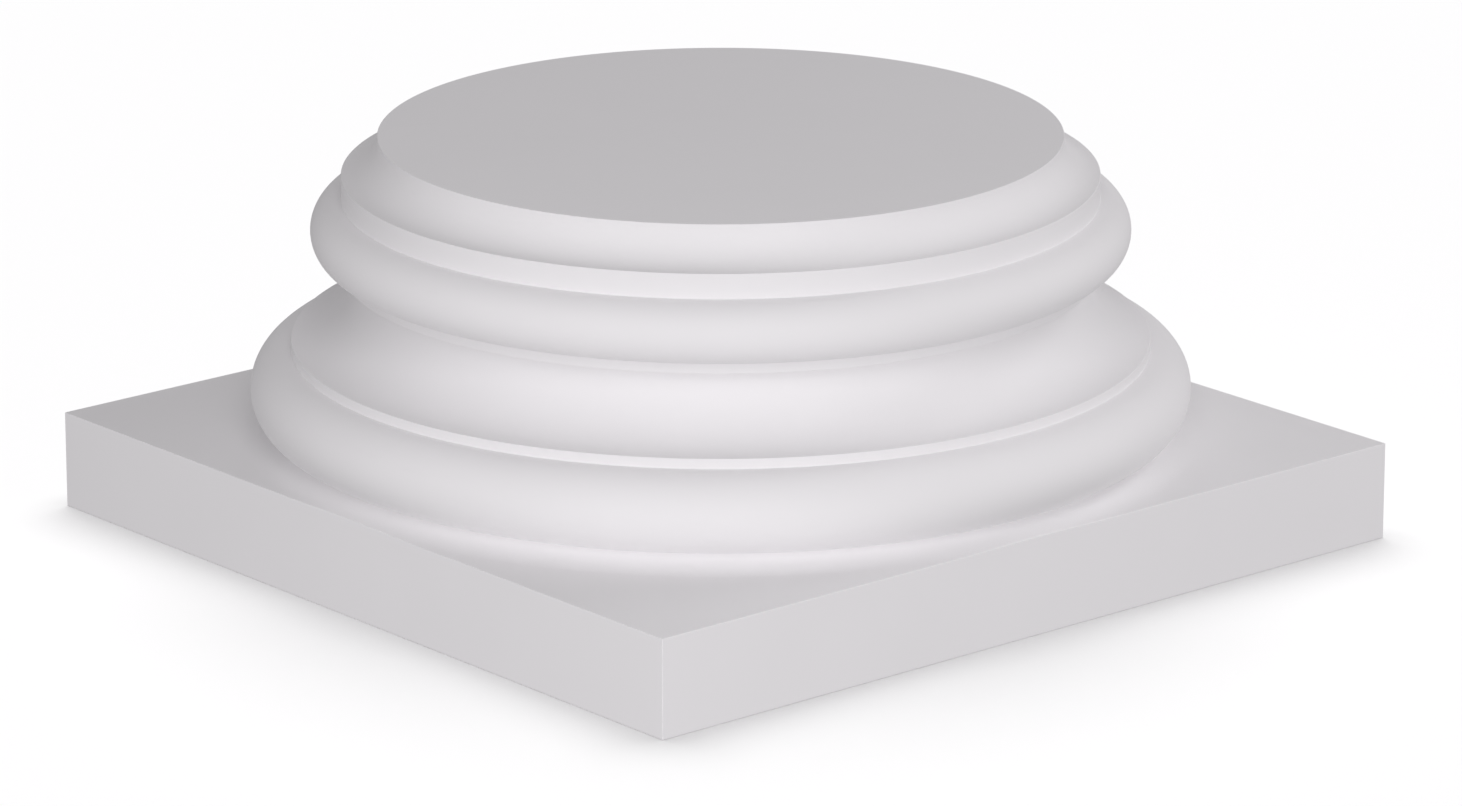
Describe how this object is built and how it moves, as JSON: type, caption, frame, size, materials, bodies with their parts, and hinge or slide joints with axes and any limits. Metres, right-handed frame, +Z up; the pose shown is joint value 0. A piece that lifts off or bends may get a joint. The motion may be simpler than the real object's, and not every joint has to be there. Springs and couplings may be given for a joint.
{
  "type": "column base",
  "caption": "Moulded column base: a square plinth, two half-round tori with a scotia and plain fillets between them, and a flat round seat for the shaft.",
  "frame": {"origin": "centre of the underside, on the column's axis", "axes": "+Z up the column's axis, X and Y square to the sides of the plinth"},
  "size_m": [0.414, 0.414, 0.1785],
  "materials": {
    "primed_polyurethane": "satin white primer on moulded rigid polyurethane"
  },
  "bodies": {
    "root": {"column_base": "primed_polyurethane"}
  },
  "joints": []
}
